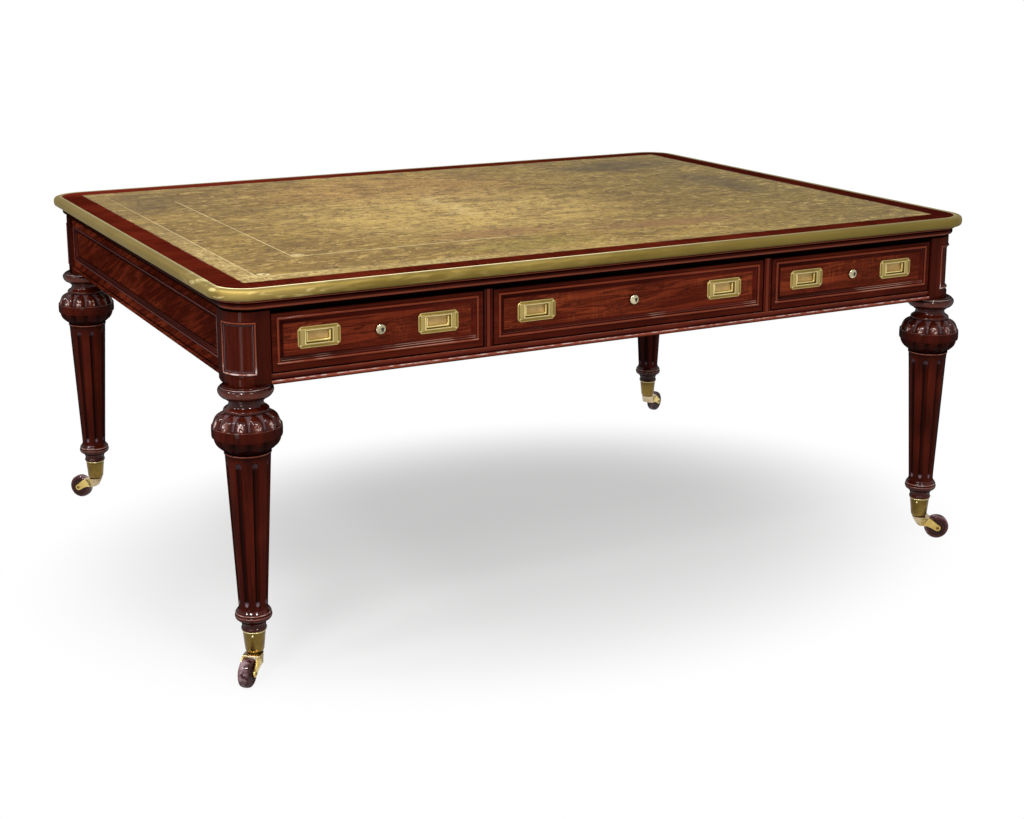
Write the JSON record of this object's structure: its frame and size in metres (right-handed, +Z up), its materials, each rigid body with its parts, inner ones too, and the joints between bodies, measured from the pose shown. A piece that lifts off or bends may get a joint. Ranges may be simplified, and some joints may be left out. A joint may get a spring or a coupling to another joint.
{
  "type": "library table",
  "caption": "Rectangular leather-lined library table with brass edge, frieze drawers, turned lobed legs on brass castors.",
  "frame": {"origin": "on the floor under the middle of the top", "axes": "+Z up, +X along the length to the right seen from the drawer side, drawers open towards -Y"},
  "size_m": [1.7518, 1.3058, 0.762],
  "materials": {
    "mahogany": "french polished",
    "flame_mahogany": "french polished flame figure",
    "carcase_wood": "planed, waxed",
    "leather": "worn, gilt tooled",
    "brass": "satin, lacquered",
    "aged_brass": "aged satin",
    "dark_wood": "turned, polished"
  },
  "bodies": {
    "table": {"top_board": "carcase_wood", "crossband_border": "mahogany", "leather_inset": "leather", "brass_edge": "brass", "cornice_board": "mahogany", "front_bottom_rail": "mahogany", "front_top_rail": "mahogany", "left_end_rail": "flame_mahogany", "left_end_panel_moulding": "mahogany", "right_end_rail": "flame_mahogany", "right_end_panel_moulding": "mahogany", "back_rail": "flame_mahogany", "back_panel_moulding": "mahogany", "drawer_stile_left": "mahogany", "drawer_runner_inner_left": "carcase_wood", "drawer_runner_outer_left": "carcase_wood", "drawer_stile_right": "mahogany", "drawer_runner_inner_right": "carcase_wood", "drawer_runner_outer_right": "carcase_wood", "leg_front_left": "mahogany", "castor_cup_front_left": "aged_brass", "leg_front_right": "mahogany", "castor_cup_front_right": "aged_brass", "leg_back_right": "mahogany", "castor_cup_back_right": "aged_brass", "leg_back_left": "mahogany", "castor_cup_back_left": "aged_brass"},
    "drawer_left": {"drawer_front_left": "flame_mahogany", "drawer_box_left": "carcase_wood", "drawer_lock_left": "brass", "handle_plate_left_left": "brass", "handle_plate_left_right": "brass"},
    "bail_left_left": {"handle_bail_left_left": "brass"},
    "bail_left_right": {"handle_bail_left_right": "brass"},
    "drawer_middle": {"drawer_front_middle": "flame_mahogany", "drawer_box_middle": "carcase_wood", "drawer_lock_middle": "brass", "handle_plate_middle_left": "brass", "handle_plate_middle_right": "brass"},
    "bail_middle_left": {"handle_bail_middle_left": "brass"},
    "bail_middle_right": {"handle_bail_middle_right": "brass"},
    "drawer_right": {"drawer_front_right": "flame_mahogany", "drawer_box_right": "carcase_wood", "drawer_lock_right": "brass", "handle_plate_right_left": "brass", "handle_plate_right_right": "brass"},
    "bail_right_left": {"handle_bail_right_left": "brass"},
    "bail_right_right": {"handle_bail_right_right": "brass"},
    "castor_front_left": {"castor_horn_front_left": "aged_brass", "castor_axle_front_left": "aged_brass"},
    "wheel_front_left": {"castor_wheel_front_left": "dark_wood"},
    "castor_front_right": {"castor_horn_front_right": "aged_brass", "castor_axle_front_right": "aged_brass"},
    "wheel_front_right": {"castor_wheel_front_right": "dark_wood"},
    "castor_back_right": {"castor_horn_back_right": "aged_brass", "castor_axle_back_right": "aged_brass"},
    "wheel_back_right": {"castor_wheel_back_right": "dark_wood"},
    "castor_back_left": {"castor_horn_back_left": "aged_brass", "castor_axle_back_left": "aged_brass"},
    "wheel_back_left": {"castor_wheel_back_left": "dark_wood"}
  },
  "joints": [
    {"name": "drawer_left_slide", "type": "slide", "parent": "table", "child": "drawer_left", "axis": [0, -1, 0], "range_m": [0, 0.35]},
    {"name": "bail_left_left_swing", "type": "hinge", "parent": "drawer_left", "child": "bail_left_left", "pos_m": [-0.6765, -0.613, 0.6653], "axis": [-1, 0, 0], "range_deg": [0, 95]},
    {"name": "bail_left_right_swing", "type": "hinge", "parent": "drawer_left", "child": "bail_left_right", "pos_m": [-0.4345, -0.613, 0.6653], "axis": [-1, 0, 0], "range_deg": [0, 95]},
    {"name": "drawer_middle_slide", "type": "slide", "parent": "table", "child": "drawer_middle", "axis": [0, -1, 0], "range_m": [0, 0.35]},
    {"name": "bail_middle_left_swing", "type": "hinge", "parent": "drawer_middle", "child": "bail_middle_left", "pos_m": [-0.2221, -0.613, 0.6653], "axis": [-1, 0, 0], "range_deg": [0, 95]},
    {"name": "bail_middle_right_swing", "type": "hinge", "parent": "drawer_middle", "child": "bail_middle_right", "pos_m": [0.2221, -0.613, 0.6653], "axis": [-1, 0, 0], "range_deg": [0, 95]},
    {"name": "drawer_right_slide", "type": "slide", "parent": "table", "child": "drawer_right", "axis": [0, -1, 0], "range_m": [0, 0.35]},
    {"name": "bail_right_left_swing", "type": "hinge", "parent": "drawer_right", "child": "bail_right_left", "pos_m": [0.4345, -0.613, 0.6653], "axis": [-1, 0, 0], "range_deg": [0, 95]},
    {"name": "bail_right_right_swing", "type": "hinge", "parent": "drawer_right", "child": "bail_right_right", "pos_m": [0.6765, -0.613, 0.6653], "axis": [-1, 0, 0], "range_deg": [0, 95]},
    {"name": "castor_front_left_swivel", "type": "hinge", "parent": "table", "child": "castor_front_left", "pos_m": [-0.8105, -0.5875, 0.053], "axis": [0, 0, 1], "continuous": true},
    {"name": "wheel_front_left_spin", "type": "hinge", "parent": "castor_front_left", "child": "wheel_front_left", "pos_m": [-0.8375, -0.61967, 0.0275], "axis": [0.766, -0.6428, 0], "continuous": true},
    {"name": "castor_front_right_swivel", "type": "hinge", "parent": "table", "child": "castor_front_right", "pos_m": [0.8105, -0.5875, 0.053], "axis": [0, 0, 1], "continuous": true},
    {"name": "wheel_front_right_spin", "type": "hinge", "parent": "castor_front_right", "child": "wheel_front_right", "pos_m": [0.84687, -0.6085, 0.0275], "axis": [0.5, 0.866, 0], "continuous": true},
    {"name": "castor_back_right_swivel", "type": "hinge", "parent": "table", "child": "castor_back_right", "pos_m": [0.8105, 0.5875, 0.053], "axis": [0, 0, 1], "continuous": true},
    {"name": "wheel_back_right_spin", "type": "hinge", "parent": "castor_back_right", "child": "wheel_back_right", "pos_m": [0.84723, 0.60786, 0.0275], "axis": [-0.4848, 0.8746, 0], "continuous": true},
    {"name": "castor_back_left_swivel", "type": "hinge", "parent": "table", "child": "castor_back_left", "pos_m": [-0.8105, 0.5875, 0.053], "axis": [0, 0, 1], "continuous": true},
    {"name": "wheel_back_left_spin", "type": "hinge", "parent": "castor_back_left", "child": "wheel_back_left", "pos_m": [-0.83941, 0.61797, 0.0275], "axis": [-0.7254, -0.6884, 0], "continuous": true}
  ]
}
